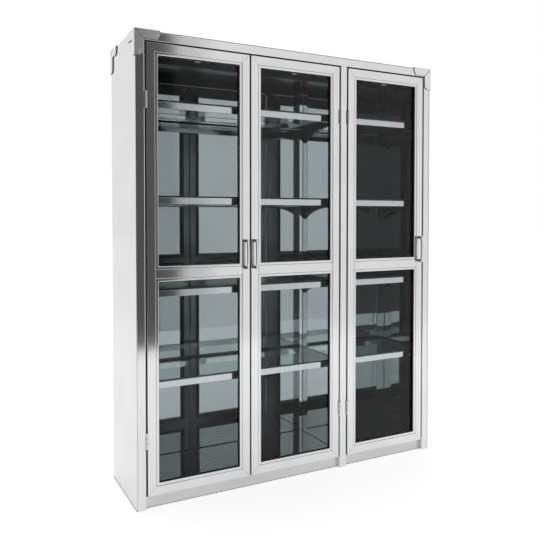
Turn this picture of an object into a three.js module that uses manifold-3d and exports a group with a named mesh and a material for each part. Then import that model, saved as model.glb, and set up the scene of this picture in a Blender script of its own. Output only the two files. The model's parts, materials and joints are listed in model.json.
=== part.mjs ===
// Glass door medical cabinet: a free-standing polished steel carcass with three glazed doors,
// glass shelves on cantilever frames, and guarded top corners.
// Units are millimetres, +Z is up, the doors face -Y and X runs along the front.

import * as THREE from 'three';
import { mergeVertices } from 'three/addons/utils/BufferGeometryUtils.js';
import Module from 'manifold-3d';

const wasm = await Module();
wasm.setup();

// Overall carcass sizes
const cabinetWidth = 1410;
const cabinetDepth = 365;
const cabinetHeight = 1800;

// Frame of square front posts, wider back posts and top rails
const postWidth = 34;
const postDepth = 34;
const backPostWidth = 48;
const backPostDepth = 30;
const tubeWall = 1.5;
const footThickness = 3;
const headerHeight = 34;

// Sheet panels and the gap left where two pieces meet
const panelThickness = 1.2;
const contactGap = 0.3;
const panelLift = 4;

// Floor of the carcass and the kick plates under it
const baseTop = 58;
const baseSheet = 1.5;
const baseFrontEdge = 24;
const baseSeam = 1;
const plinthRecess = 19;
const plinthSheet = 1.5;
const plinthFlange = 30;
const plinthLift = 2;

// Doors: a pair left of the centre post, which shares the width that the single door leaves
const singleDoorWidth = 421;
const doorGap = 6;
const doorBottom = 50;
const doorThickness = 20;
const stileWidth = 45;
const beadWidth = 11;
const beadStep = 1;
const lipDepth = 13;
const rebateWidth = 8;
const midRailHeight = 58;
const midRailCentre = 891;
const paneThickness = 4;
const paneClearance = 1;

// Bow handles
const handleCentre = 957;
const handleLength = 120;
const handleReach = 27;
const handleWidth = 10;
const handleBar = 7;
const handleNeck = 12;
const handleBow = 4;
const handleCorner = 4;
const handleBevel = 1.2;

// Butt hinges with a barrel in front of the gap
const hingeHeight = 62;
const hingeInset = 214;
const barrelRadius = 4.5;
const barrelProud = 5;
const pinRadius = 2;
const pinClearance = 0.4;
const knuckleGap = 0.6;
const leafThickness = 1.6;
const leafDepth = 17;

// Shelves: welded frames carrying one glass plate in each section, at the heights of their upper faces
const lowestShelf = 476;
const secondShelf = 830;
const thirdShelf = 1189;
const topShelf = 1556;
const shelfPlateThickness = 6;
const shelfBarHeight = 26;
const shelfBarDepth = 15;
const shelfFront = 42;
const shelfSideClearance = 3;
const armWidth = 16;
const armFrontDrop = 8;
const armBackDrop = 60;
const armCurveDepth = 60;

// Door catches hung from the header
const catchWidth = 24;
const catchStrip = 2;
const catchOffset = 9;
const catchHead = 11;
const catchDrop = 56;
const catchClearance = 0.8;

// Corner guards on the four top corners
const guardLeg = 98;
const guardWidth = 35;
const guardThickness = 3.2;
const guardChamferLong = 10;
const guardChamferWide = 16;
const rivetRadius = 4;
const rivetTop = 2.4;
const rivetHeight = 1.2;
const rivetInset = 14;

// Fineness of round shapes
const roundSegments = 20;
const rivetSegments = 10;
const curveSegments = 8;
const bevelSegments = 2;

// Places worked out from the sizes above
const skin = panelThickness + contactGap;
const halfWidth = cabinetWidth / 2;
const frameTop = cabinetHeight - skin;
const headerBottom = frameTop - headerHeight;
const doorTop = headerBottom - doorGap;
const doorHeight = doorTop - doorBottom;
const doorWidths = cabinetWidth - 2 * skin - 3 * postWidth - 5 * doorGap;
const pairDoorWidth = (doorWidths - singleDoorWidth) / 2;
const leftPostX = -halfWidth + skin;
const leftDoorX = leftPostX + postWidth + doorGap;
const middleDoorX = leftDoorX + pairDoorWidth + doorGap;
const centrePostX = middleDoorX + pairDoorWidth + doorGap;
const rightDoorX = centrePostX + postWidth + doorGap;
const rightPostX = rightDoorX + singleDoorWidth + doorGap;
const backPostY = cabinetDepth - skin - backPostDepth;
const backCentreX = centrePostX + postWidth - backPostWidth;
const backRightX = rightPostX + postWidth - backPostWidth;
const guardReach = contactGap + guardThickness;
const backmost = cabinetDepth + guardReach + rivetHeight;
const plinthTop = doorBottom - doorGap;

const xAxis = new THREE.Vector3(1, 0, 0);
const yAxis = new THREE.Vector3(0, 1, 0);
const zAxis = new THREE.Vector3(0, 0, 1);

// A block between two opposite corners, given in any order
function block(cornerA, cornerB) {
  const corners = [new THREE.Vector3(...cornerA), new THREE.Vector3(...cornerB)];
  const box = new THREE.Box3().setFromPoints(corners);
  const size = box.getSize(new THREE.Vector3());
  const centre = box.getCenter(new THREE.Vector3());
  return new THREE.BoxGeometry(size.x, size.y, size.z).translate(centre.x, centre.y, centre.z);
}

// A flat outline from a list of points
function outline(points) {
  return new THREE.Shape(points.map(([u, v]) => new THREE.Vector2(u, v)));
}

// An outline of (y, z) points carried along X
function extrudeAlongX(shape, xStart, length, bevel = 0) {
  const settings = {
    depth: length - 2 * bevel,
    curveSegments,
    bevelEnabled: bevel > 0,
    bevelThickness: bevel,
    bevelSize: bevel,
    bevelOffset: -bevel,
    bevelSegments,
  };
  const place = new THREE.Matrix4().makeBasis(yAxis, zAxis, xAxis);
  return new THREE.ExtrudeGeometry(shape, settings).applyMatrix4(place).translate(xStart + bevel, 0, 0);
}

// An outline of (x, z) points carried along Y, ending at yEnd
function extrudeAlongY(shape, yEnd, length) {
  const place = new THREE.Matrix4().makeBasis(xAxis, zAxis, yAxis.clone().negate());
  const geometry = new THREE.ExtrudeGeometry(shape, { depth: length, bevelEnabled: false });
  return geometry.applyMatrix4(place).translate(0, yEnd, 0);
}

// An outline of (x, y) points carried along Z
function extrudeAlongZ(shape, zStart, length) {
  return new THREE.ExtrudeGeometry(shape, { depth: length, bevelEnabled: false }).translate(0, 0, zStart);
}

// A round bar along an axis, tapered where its two radii differ
function round(axis, from, to, startRadius, endRadius, segments) {
  const start = new THREE.Vector3(...from);
  const end = new THREE.Vector3(...to);
  const middle = start.clone().add(end).multiplyScalar(0.5);
  const turn = new THREE.Quaternion().setFromUnitVectors(yAxis, axis);
  const geometry = new THREE.CylinderGeometry(endRadius, startRadius, start.distanceTo(end), segments);
  return geometry.applyQuaternion(turn).translate(middle.x, middle.y, middle.z);
}

// A closed geometry as a solid that can be joined and cut
function solid(geometry) {
  const bare = geometry.clone();
  bare.deleteAttribute('normal');
  bare.deleteAttribute('uv');
  const merged = mergeVertices(bare);
  const vertProperties = new Float32Array(merged.attributes.position.array);
  const triVerts = new Uint32Array(merged.index.array);
  return new wasm.Manifold(new wasm.Mesh({ numProp: 3, vertProperties, triVerts }));
}

function join(geometries) {
  return geometries.map(solid).reduce((whole, piece) => whole.add(piece));
}

function cut(body, geometries) {
  return geometries.map(solid).reduce((rest, piece) => rest.subtract(piece), body);
}

function geometryOf(body) {
  const { vertProperties, triVerts } = body.getMesh();
  const geometry = new THREE.BufferGeometry();
  geometry.setAttribute('position', new THREE.BufferAttribute(vertProperties, 3));
  geometry.setIndex(new THREE.BufferAttribute(triVerts, 1));
  geometry.computeVertexNormals();
  return geometry;
}

// Finishes, one new material for each mesh
function finish(color, roughness, metalness) {
  return new THREE.MeshStandardMaterial({ color, roughness, metalness });
}

const polishedSteel = () => finish(0xd4d5d8, 0.16, 1);
const satinSteel = () => finish(0xbfc1c4, 0.3, 1);
const tintedGlass = () => finish(0x8d9b9a, 0.05, 0);
const paleSteel = () => finish(0xe2e3e4, 0.35, 1);

function addPiece(group, name, geometry, material) {
  const mesh = new THREE.Mesh(geometry, material);
  mesh.name = name;
  group.add(mesh);
}

// Footprints of the posts: left edge, front edge, width and depth
const frontFeet = [leftPostX, centrePostX, rightPostX].map((x) => [x, 0, postWidth, postDepth]);
const backFeet = [leftPostX, backCentreX, backRightX].map(
  (x) => [x, backPostY, backPostWidth, backPostDepth],
);

// Tube post with a closed foot and an open top
function post([x, y, width, depth], top) {
  const outer = solid(block([x, y, 0], [x + width, y + depth, top]));
  const inside = block(
    [x + tubeWall, y + tubeWall, footThickness],
    [x + width - tubeWall, y + depth - tubeWall, top + tubeWall],
  );
  return geometryOf(cut(outer, [inside]));
}

// Rail of tube between two outer posts
function header(leftFoot, rightFoot) {
  const [leftX, y, width, depth] = leftFoot;
  const from = leftX + width + contactGap;
  const to = rightFoot[0] - contactGap;
  const outer = solid(block([from, y, headerBottom], [to, y + depth, frameTop]));
  const inside = block(
    [from - tubeWall, y + tubeWall, headerBottom + tubeWall],
    [to + tubeWall, y + depth - tubeWall, frameTop - tubeWall],
  );
  return geometryOf(cut(outer, [inside]));
}

// Sheet floor of one section, notched round the posts, with a lip folded down at the front
function basePanel(xFrom, xTo, lipFrom, lipTo) {
  const sheet = block(
    [xFrom, baseFrontEdge, baseTop - baseSheet],
    [xTo, cabinetDepth - skin - contactGap, baseTop],
  );
  const lip = block(
    [lipFrom, baseFrontEdge, plinthTop + contactGap],
    [lipTo, baseFrontEdge + baseSheet, baseTop],
  );
  const notches = [...frontFeet, ...backFeet].map(([x, y, width, depth]) => block(
    [x - contactGap, y - contactGap, 0],
    [x + width + contactGap, y + depth + skin, cabinetHeight],
  ));
  return geometryOf(cut(join([sheet, lip]), notches));
}

// Kick plate set back under the doors, with a flange folded back along its top
function plinth(xFrom, xTo) {
  const face = block([xFrom, plinthRecess, plinthLift], [xTo, plinthRecess + plinthSheet, plinthTop]);
  const flange = block(
    [xFrom, plinthRecess, plinthTop - plinthSheet],
    [xTo, plinthRecess + plinthFlange, plinthTop],
  );
  const notches = frontFeet.map(([x, y, width, depth]) => block(
    [x - contactGap, y, 0],
    [x + width + contactGap, y + depth + contactGap, plinthTop + plinthSheet],
  ));
  return geometryOf(cut(join([face, flange]), notches));
}

// One face of a corner guard: two legs at a right angle with clipped ends
function guardFace(signU, signV, cornerU, cornerV) {
  const points = [
    [0, 0],
    [guardLeg, 0],
    [guardLeg, guardWidth - guardChamferWide],
    [guardLeg - guardChamferLong, guardWidth],
    [guardWidth, guardWidth],
    [guardWidth, guardLeg - guardChamferLong],
    [guardWidth - guardChamferWide, guardLeg],
    [0, guardLeg],
  ];
  return outline(points.map(([u, v]) => [cornerU + signU * u, cornerV + signV * v]));
}

// Corner guard over the front or back, the side and the top, with a rivet near each leg end
function cornerGuard(sideX, sideY) {
  const cornerX = sideX * (halfWidth + guardReach);
  const cornerY = sideY < 0 ? -guardReach : cabinetDepth + guardReach;
  const cornerZ = cabinetHeight + guardReach;
  const nearY = sideY < 0 ? cornerY + guardThickness : cornerY;
  const nearX = sideX < 0 ? cornerX : cornerX - guardThickness;
  const faces = [
    extrudeAlongY(guardFace(-sideX, -1, cornerX, cornerZ), nearY, guardThickness),
    extrudeAlongX(guardFace(-sideY, -1, cornerY, cornerZ), nearX, guardThickness),
    extrudeAlongZ(guardFace(-sideX, -sideY, cornerX, cornerY), cornerZ - guardThickness, guardThickness),
  ];
  const along = guardLeg - rivetInset;
  const across = guardWidth / 2;
  const outX = xAxis.clone().multiplyScalar(sideX);
  const outY = yAxis.clone().multiplyScalar(sideY);
  const rivet = (axis, u, v, w) => {
    const root = new THREE.Vector3(cornerX - sideX * u, cornerY - sideY * v, cornerZ - w);
    const base = root.clone().addScaledVector(axis, -guardThickness / 2);
    const tip = root.clone().addScaledVector(axis, rivetHeight);
    return round(axis, base.toArray(), tip.toArray(), rivetRadius, rivetTop, rivetSegments);
  };
  const rivets = [
    rivet(outY, along, 0, across),
    rivet(outY, across, 0, along),
    rivet(outX, 0, along, across),
    rivet(outX, 0, across, along),
    rivet(zAxis, along, across, 0),
    rivet(zAxis, across, along, 0),
  ];
  return geometryOf(join([...faces, ...rivets]));
}

// Rectangles of a door's two windows, as left, bottom, right, top inside the door
function doorWindows(width) {
  const side = width / 2 - stileWidth;
  const midRailTop = midRailCentre + midRailHeight / 2 - doorBottom;
  return {
    upper: [-side, midRailTop, side, doorHeight - stileWidth],
    lower: [-side, stileWidth, side, midRailTop - midRailHeight],
  };
}

// A block over a window that is grown on all sides
function windowBlock([left, bottom, right, top], grow, yFrom, yTo) {
  return block([left - grow, yFrom, bottom - grow], [right + grow, yTo, top + grow]);
}

// Door frame with a stepped bead round each window and a rebate for the glass behind it
function doorFrame(width, windows) {
  const slab = solid(block([-width / 2, 0, 0], [width / 2, doorThickness, doorHeight]));
  const cuts = Object.values(windows).flatMap((rect) => [
    windowBlock(rect, 0, -beadStep, doorThickness + beadStep),
    windowBlock(rect, beadWidth, -beadStep, beadStep),
    windowBlock(rect, rebateWidth, lipDepth, doorThickness + beadStep),
  ]);
  return geometryOf(cut(slab, cuts));
}

// Glass seated in the rebate
function pane(rect) {
  const seat = lipDepth + contactGap;
  return windowBlock(rect, rebateWidth - paneClearance, seat, seat + paneThickness);
}

// Bow handle: two necks screwed to the stile from behind and a bar that swells forward
function bowHandle(x) {
  const end = handleLength / 2;
  const inner = end - handleNeck;
  const barFace = handleBow - handleReach + contactGap;
  const barBack = barFace + handleBar;
  const swell = 2 * handleBow;
  const shape = new THREE.Shape();
  shape.moveTo(0, -end);
  shape.lineTo(0, -inner);
  shape.lineTo(barBack, -inner);
  shape.quadraticCurveTo(barBack - swell, 0, barBack, inner);
  shape.lineTo(0, inner);
  shape.lineTo(0, end);
  shape.lineTo(barFace + handleCorner, end);
  shape.quadraticCurveTo(barFace, end, barFace, end - handleCorner);
  shape.quadraticCurveTo(barFace - swell, 0, barFace, -end + handleCorner);
  shape.quadraticCurveTo(barFace, -end, barFace + handleCorner, -end);
  shape.closePath();
  const handle = extrudeAlongX(shape, x - handleWidth / 2, handleWidth, handleBevel);
  return handle.translate(0, -contactGap, handleCentre - doorBottom);
}

// Heights of a hinge's three knuckles above its foot: the outer two hold the pin
const knuckleHeight = (hingeHeight - 2 * knuckleGap) / 3;
const knuckleFeet = [0, knuckleHeight + knuckleGap, 2 * (knuckleHeight + knuckleGap)];

// Knuckle on the hinge line with the neck that ties it to a leaf on the given side
function knuckle(foot, side) {
  const leafOuter = side * (doorGap / 2 - contactGap);
  const leafInner = leafOuter - side * leafThickness;
  const barrel = [0, -barrelProud, foot];
  const barrelTop = [0, -barrelProud, foot + knuckleHeight];
  return [
    round(zAxis, barrel, barrelTop, barrelRadius, barrelRadius, roundSegments),
    block([leafInner, -barrelProud, foot], [leafOuter, contactGap + leafThickness, foot + knuckleHeight]),
  ];
}

// Flat leaf in the gap, lying against the post or the door edge on the given side
function leaf(side) {
  const leafOuter = side * (doorGap / 2 - contactGap);
  return block([leafOuter, contactGap, 0], [leafOuter - side * leafThickness, leafDepth, hingeHeight]);
}

// Fixed half: leaf on the post, two knuckles and the pin
function postLeaf(side) {
  const pin = round(
    zAxis,
    [0, -barrelProud, 0],
    [0, -barrelProud, hingeHeight],
    pinRadius,
    pinRadius,
    roundSegments,
  );
  const knuckles = [...knuckle(knuckleFeet[0], side), ...knuckle(knuckleFeet[2], side)];
  return geometryOf(join([leaf(side), ...knuckles, pin]));
}

// Moving half: leaf on the door edge and the middle knuckle, bored for the pin
function doorLeaf(side) {
  const bore = round(
    zAxis,
    [0, -barrelProud, 0],
    [0, -barrelProud, hingeHeight],
    pinRadius + pinClearance,
    pinRadius + pinClearance,
    roundSegments,
  );
  return geometryOf(cut(join([leaf(-side), ...knuckle(knuckleFeet[1], -side)]), [bore]));
}

// Catch for one door: a strip under the header with a head behind the door's top rail
function doorCatch(x) {
  const headTop = headerBottom - catchDrop + catchHead;
  const stripFront = doorThickness + catchOffset;
  const strip = block(
    [x - catchWidth / 2, stripFront, headerBottom - catchDrop],
    [x + catchWidth / 2, stripFront + catchStrip, headerBottom - contactGap],
  );
  const head = block(
    [x - catchWidth / 2, doorThickness + catchClearance, headerBottom - catchDrop],
    [x + catchWidth / 2, stripFront + catchStrip, headTop],
  );
  return geometryOf(join([strip, head]));
}

// Welded shelf frame: front and rear bars on three arms that stand out from the back posts
function shelfFrame(top) {
  const barBottom = top - shelfBarHeight;
  const rearFace = backPostY - contactGap;
  const reach = halfWidth - skin - shelfSideClearance;
  const bars = [
    block([-reach, shelfFront, barBottom], [reach, shelfFront + shelfBarDepth, top]),
    block([-reach, rearFace - shelfBarDepth, barBottom], [reach, rearFace, top]),
  ];
  const arms = [leftPostX, centrePostX, rightPostX].map((x) => {
    const shape = new THREE.Shape();
    shape.moveTo(shelfFront + shelfBarDepth / 2, top);
    shape.lineTo(shelfFront + shelfBarDepth / 2, barBottom);
    shape.lineTo(shelfFront + shelfBarDepth, barBottom);
    shape.quadraticCurveTo(
      rearFace - armCurveDepth,
      barBottom - armFrontDrop,
      rearFace,
      barBottom - armBackDrop,
    );
    shape.lineTo(rearFace, top);
    shape.closePath();
    return extrudeAlongX(shape, x + (postWidth - armWidth) / 2, armWidth);
  });
  return geometryOf(join([...bars, ...arms]));
}

// Glass plate of one section, resting on the two bars in front of the back posts
function shelfPlate(xFrom, xTo, frameLevel) {
  return block(
    [xFrom + shelfSideClearance, shelfFront, frameLevel + contactGap],
    [xTo - shelfSideClearance, backPostY - shelfSideClearance, frameLevel + shelfPlateThickness],
  );
}

function buildFrame(group) {
  const underHeader = headerBottom - contactGap;
  const columns = [['left', frameTop], ['centre', underHeader], ['right', frameTop]];
  columns.forEach(([place, top], column) => {
    addPiece(group, `front_${place}_post`, post(frontFeet[column], top), polishedSteel());
    addPiece(group, `back_${place}_post`, post(backFeet[column], top), polishedSteel());
  });
  addPiece(group, 'front_header', header(frontFeet[0], frontFeet[2]), polishedSteel());
  addPiece(group, 'back_header', header(backFeet[0], backFeet[2]), polishedSteel());
}

function buildPanels(group) {
  const inside = halfWidth - skin;
  const topSheet = block(
    [-halfWidth, 0, cabinetHeight - panelThickness],
    [halfWidth, cabinetDepth, cabinetHeight],
  );
  const backSheet = block(
    [-inside, cabinetDepth - panelThickness, panelLift],
    [inside, cabinetDepth, frameTop],
  );
  addPiece(group, 'top_panel', topSheet, polishedSteel());
  addPiece(group, 'back_panel', backSheet, polishedSteel());
  for (const [place, side] of [['left', -1], ['right', 1]]) {
    const sheet = block(
      [side * halfWidth, 0, panelLift],
      [side * (halfWidth - panelThickness), cabinetDepth, frameTop],
    );
    addPiece(group, `${place}_side_panel`, sheet, polishedSteel());
  }
}

function buildBase(group) {
  const inside = halfWidth - skin - contactGap;
  const seam = centrePostX + postWidth / 2;
  const lipLeft = leftPostX + postWidth + contactGap;
  const lipRight = rightPostX - contactGap;
  const leftBase = basePanel(-inside, seam - baseSeam / 2, lipLeft, centrePostX - contactGap);
  const rightBase = basePanel(seam + baseSeam / 2, inside, centrePostX + postWidth + contactGap, lipRight);
  addPiece(group, 'left_base_panel', leftBase, polishedSteel());
  addPiece(group, 'right_base_panel', rightBase, polishedSteel());
  addPiece(group, 'left_plinth', plinth(lipLeft, centrePostX - contactGap), polishedSteel());
  addPiece(group, 'right_plinth', plinth(centrePostX + postWidth + contactGap, lipRight), polishedSteel());
}

function buildGuards(group) {
  for (const [depthName, sideY] of [['front', -1], ['back', 1]]) {
    for (const [widthName, sideX] of [['left', -1], ['right', 1]]) {
      addPiece(group, `${depthName}_${widthName}_corner_guard`, cornerGuard(sideX, sideY), satinSteel());
    }
  }
}

function buildShelves(group) {
  const inside = halfWidth - skin;
  const split = backCentreX + backPostWidth / 2;
  [lowestShelf, secondShelf, thirdShelf, topShelf].forEach((plateTop, index) => {
    const level = index + 1;
    const frameLevel = plateTop - shelfPlateThickness;
    const leftPlate = shelfPlate(-inside, split, frameLevel);
    const rightPlate = shelfPlate(split, inside, frameLevel);
    addPiece(group, `shelf_frame_${level}`, shelfFrame(frameLevel), polishedSteel());
    addPiece(group, `left_shelf_glass_${level}`, leftPlate, tintedGlass());
    addPiece(group, `right_shelf_glass_${level}`, rightPlate, tintedGlass());
  });
}

// One door in its own group, whose origin is the middle of the door's front bottom edge
function buildDoor(group, name, leftEdge, width, hingeSide) {
  const door = new THREE.Group();
  const windows = doorWindows(width);
  door.position.set(leftEdge + width / 2, 0, doorBottom);
  const handleX = -hingeSide * (width / 2 - (stileWidth - beadWidth) / 2);
  addPiece(door, `${name}_door_frame`, doorFrame(width, windows), polishedSteel());
  addPiece(door, `${name}_door_upper_glass`, pane(windows.upper), tintedGlass());
  addPiece(door, `${name}_door_lower_glass`, pane(windows.lower), tintedGlass());
  addPiece(door, `${name}_door_handle`, bowHandle(handleX), satinSteel());
  const hingeLevels = {
    upper: doorHeight - hingeInset - hingeHeight / 2,
    lower: hingeInset - hingeHeight / 2,
  };
  for (const [level, foot] of Object.entries(hingeLevels)) {
    const hinge = new THREE.Group();
    hinge.position.set(hingeSide * (width + doorGap) / 2, 0, foot);
    addPiece(hinge, `${name}_door_${level}_hinge_post_leaf`, postLeaf(hingeSide), satinSteel());
    addPiece(hinge, `${name}_door_${level}_hinge_door_leaf`, doorLeaf(hingeSide), satinSteel());
    door.add(hinge);
  }
  addPiece(group, `${name}_door_catch`, doorCatch(leftEdge + width / 2), paleSteel());
  group.add(door);
}

const cabinet = new THREE.Group();
buildFrame(cabinet);
buildPanels(cabinet);
buildBase(cabinet);
buildGuards(cabinet);
buildShelves(cabinet);
buildDoor(cabinet, 'left', leftDoorX, pairDoorWidth, -1);
buildDoor(cabinet, 'middle', middleDoorX, pairDoorWidth, 1);
buildDoor(cabinet, 'right', rightDoorX, singleDoorWidth, -1);

// The origin is on the floor in the middle of the whole object, handles included
cabinet.position.y = (handleReach - backmost) / 2;

export default cabinet;
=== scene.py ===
"""Looks of a glass door medical cabinet: rounded steel members, glazing, fittings and finishes."""

import json
import math

import bmesh
import bpy
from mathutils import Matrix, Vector


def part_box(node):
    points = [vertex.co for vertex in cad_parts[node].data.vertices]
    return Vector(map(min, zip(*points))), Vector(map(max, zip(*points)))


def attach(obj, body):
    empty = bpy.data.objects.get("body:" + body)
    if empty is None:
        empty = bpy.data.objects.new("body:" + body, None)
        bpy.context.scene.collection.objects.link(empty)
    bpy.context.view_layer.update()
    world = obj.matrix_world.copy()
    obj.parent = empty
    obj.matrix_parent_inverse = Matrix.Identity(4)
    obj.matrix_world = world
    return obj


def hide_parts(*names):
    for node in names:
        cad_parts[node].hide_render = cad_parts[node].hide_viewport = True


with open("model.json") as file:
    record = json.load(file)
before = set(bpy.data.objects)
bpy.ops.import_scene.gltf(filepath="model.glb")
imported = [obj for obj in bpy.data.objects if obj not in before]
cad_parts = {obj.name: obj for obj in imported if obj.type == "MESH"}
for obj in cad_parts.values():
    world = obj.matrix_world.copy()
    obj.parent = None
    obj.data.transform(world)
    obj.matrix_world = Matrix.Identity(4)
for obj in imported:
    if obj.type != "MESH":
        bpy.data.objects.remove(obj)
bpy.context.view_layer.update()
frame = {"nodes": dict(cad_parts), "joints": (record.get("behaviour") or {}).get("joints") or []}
scene = bpy.context.scene

MM = 0.001
DOORS = ("left", "middle", "right")
COLUMNS = ("left", "centre", "right")
SHELF_PREFIX = "shelf_frame_"

# Camera, from the edges of the photograph; its place is counted from the front left foot of the cabinet
CAMERA_OFFSET = Vector((-0.6303, -2.2827, 1.1074))
CAMERA_YAW = 27.545
CAMERA_PITCH = 1.37
CAMERA_SENSOR = 36.0
CAMERA_LENS = 41.673
CAMERA_SHIFT = -0.0706

# Studio: a pale floor, and a wall behind the camera that goes from dark to middling to pale
FLOOR_HALF = 30.0
FLOOR_TONE = 0.8
FLOOR_GLOW = 0.5
AMBIENT = 0.69
WALL_DISTANCE = 2.8
WALL_HEIGHT = 9.0
WALL_LEFT = -12.0
WALL_RIGHT = 14.0
WALL_LEAN = 1.8
WALL_FADES = ((0.43, 0.53), (0.66, 0.86))
WALL_LEVELS = ((0.1, 0.735), (0, 0.23))
LAMP_SIZE = 2.4
LAMP_TARGET = Vector((0, 0, 0.9))
LAMPS = {
    "key_lamp": ((-2.2, -2.6, 3.6), 20),
    "fill_lamp": ((2.6, -2.2, 2.8), 12),
    "rear_lamp": ((0.4, 3.0, 3.4), 12),
}

# Frame of tube and sheet
TUBE_RADIUS = 3.4 * MM
TUBE_END_BEVEL = 1.2 * MM
SHEET_BEVEL = 0.35 * MM
FOLD_BEVEL = 0.5 * MM
SEALANT_LEG = 3.2 * MM
SEAM_WIDTH = 4.6 * MM
SEAM_HEIGHT = 0.8 * MM
# Floor lips: black rubber that paints the contact shadow under the plinths and the sides
LIP_SHEET = 1.4 * MM
LIP_INSET = 0.2 * MM
LIP_END = 3 * MM
# Strip on the back centre post, a painted highlight, and the seam beside it, a painted shadow line
POST_TRIM = (1.5 * MM, 17 * MM)
POST_SHADOW_SEAM = (17 * MM, 21.5 * MM)
POST_TRIM_SHEET = 0.4 * MM
POST_TRIM_RADIUS = 0.1 * MM

# Doors
PANE_OVERLAP = 7 * MM
PANE_BEVEL = 0.6 * MM
PANE_BEVEL_STEPS = 1
MEMBER_INNER_RADIUS = 2 * MM
MEMBER_OUTER_RADIUS = 1.2 * MM
MEMBER_BACK_RADIUS = 0.8 * MM
MITRE_GAP = 0.4 * MM
MITRE_BEVEL = 0.2 * MM
BEAD_WIDTH = 11 * MM
BEAD_STEP = 1 * MM
BEAD_NOSE = 2.6 * MM
BEAD_LEG = 3 * MM
BEAD_GROOVE = 0.9 * MM
BEAD_BEVEL = 0.2 * MM
GASKET_PROUD = 0.9 * MM
GASKET_TUCK = 0.5 * MM
GASKET_GAP = 0.7 * MM
STOP_COVER = 6 * MM
STOP_INNER = 12 * MM
STOP_OUTER = 3.4 * MM
STOP_SHEET = 0.5 * MM
STOP_SCREW_INSET = 5 * MM
STOP_SCREW_PITCH = 210 * MM
SEAL_REACH = 4.2 * MM
SEAL_SHORT_REACH = 0.6 * MM
SEAL_ROOT = 0.5 * MM
SEAL_FRONT = 17.2 * MM
SEAL_BACK = 19.8 * MM

# Handles
HANDLE_BAR = 7 * MM
HANDLE_NECK = 12 * MM
HANDLE_BOW = 4 * MM
HANDLE_CORNER = 4 * MM
HANDLE_BEVEL = 1.3 * MM
HANDLE_BEVEL_STEPS = 3
HANDLE_STEPS = 12

# Hinges
BARREL_RADIUS = 4.5 * MM
BARREL_CHAMFER = 0.5 * MM
KNUCKLES = 3
KNUCKLE_GAP = 0.6 * MM
LEAF_OUTER = 2.7 * MM
LEAF_THICKNESS = 1.6 * MM
LEAF_FRONT = 0.3 * MM
PIN_CAP_RADIUS = 2.8 * MM
PIN_CAP_HEIGHT = 1.4 * MM
BARREL_SEGMENTS = 28

# Corner guards
GUARD_WIDTH = 35 * MM
GUARD_THICKNESS = 0.9 * MM
# The black seal under each guard, and its margin, paint the shadow round the guard's edges
GUARD_SHADOW_SEAL = 2.3 * MM
GUARD_SHADOW_SEAL_MARGIN = 0.8 * MM
GUARD_CHAMFER_LONG = 10 * MM
GUARD_CHAMFER_WIDE = 16 * MM
GUARD_BEVEL = 0.35 * MM
GUARD_MITRE_GAP = 1.4 * MM
RIVET_HEIGHT = 1.2 * MM
RIVET_RADIUS = 4 * MM
RIVET_INSET = 14 * MM
# Axes of each leg: along it, across it and through its thickness
GUARD_LEGS = ((1, 2, 0), (2, 1, 0), (0, 2, 1), (2, 0, 1), (0, 1, 2), (1, 0, 2))

# Shelves and catches
SHELF_BAR_DEPTH = 15 * MM
SHELF_BAR_HEIGHT = 26 * MM
SHELF_BAR_RADIUS = 1.6 * MM
ARM_WIDTH = 16 * MM
ARM_FRONT_DROP = 8 * MM
ARM_CURVE_DEPTH = 60 * MM
ARM_INSET = 1 * MM
SHELF_BEVEL = 0.5 * MM
CATCH_STRIP = 2 * MM
CATCH_HEAD = 11 * MM
CATCH_RADIUS = 4.5 * MM
BOTTOM_CATCH = (62 * MM, 12 * MM, 26 * MM)
BOTTOM_CATCH_GAP = 0.8 * MM
BOTTOM_CATCH_RADIUS = 3 * MM

# Small fasteners; a screw head's outline is given in shares of its radius and height, down into its socket
SCREW_OUTLINE = ((0, 0), (1, 0), (1, 0.35), (0.82, 0.8), (0.6, 1), (0.42, 1), (0.38, 0.35), (0, 0.3))
SCREW_RADIUS = 4.2 * MM
SCREW_HEIGHT = 2.2 * MM
STOP_SCREW_RADIUS = 2.4 * MM
STOP_SCREW_HEIGHT = 0.9 * MM
FEWEST_IN_ROW = 2
BACK_RIVET_PITCH = 225 * MM
BACK_RIVET_INSET = 17 * MM

# Meshes; a face looks along an axis where its normal reaches FACING along it
WELD = 0.01 * MM
ARC_STEPS = 5
TURN_SEGMENTS = 20
BEVEL_STEPS = 2
SHARP_ANGLE = math.radians(40)
FLAT_ANGLE = math.radians(1)
FACING = 0.5


# Materials

WHITE = (1, 1, 1, 1)
BLACK = (0, 0, 0, 1)
NOISE_LOW = 0.3
NOISE_HIGH = 0.7


def new_material(name):
    material = bpy.data.materials.new(name)
    material.use_nodes = True
    tree = material.node_tree
    return material, tree, tree.nodes["Principled BSDF"]


def add_node(tree, kind, **inputs):
    """A node with its inputs set by name, where an underscore stands for a space."""
    node = tree.nodes.new(kind)
    for name, value in inputs.items():
        node.inputs[name.replace("_", " ")].default_value = value
    return node


def noise_at(tree, stretch, **inputs):
    """Noise in the cabinet's own metres, stretched along its axes."""
    position = tree.nodes.new("ShaderNodeTexCoord")
    mapping = add_node(tree, "ShaderNodeMapping", Scale=stretch)
    noise = add_node(tree, "ShaderNodeTexNoise", **inputs)
    tree.links.new(position.outputs["Object"], mapping.inputs["Vector"])
    tree.links.new(mapping.outputs["Vector"], noise.inputs["Vector"])
    return noise.outputs["Fac"]


def spread(tree, factor, low, high):
    """A number that goes from low to high over the middle of a noise's range."""
    source = {"From_Min": NOISE_LOW, "From_Max": NOISE_HIGH}
    node = add_node(tree, "ShaderNodeMapRange", **source, To_Min=low, To_Max=high)
    tree.links.new(factor, node.inputs["Value"])
    return node.outputs["Result"]


def tint(tree, factor, low, high):
    """A colour that goes from low to high over the middle of a noise's range."""
    node = tree.nodes.new("ShaderNodeValToRGB")
    first, last = node.color_ramp.elements
    first.position, first.color = NOISE_LOW, (*low, 1)
    last.position, last.color = NOISE_HIGH, (*high, 1)
    tree.links.new(factor, node.inputs["Fac"])
    return node.outputs["Color"]


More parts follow.
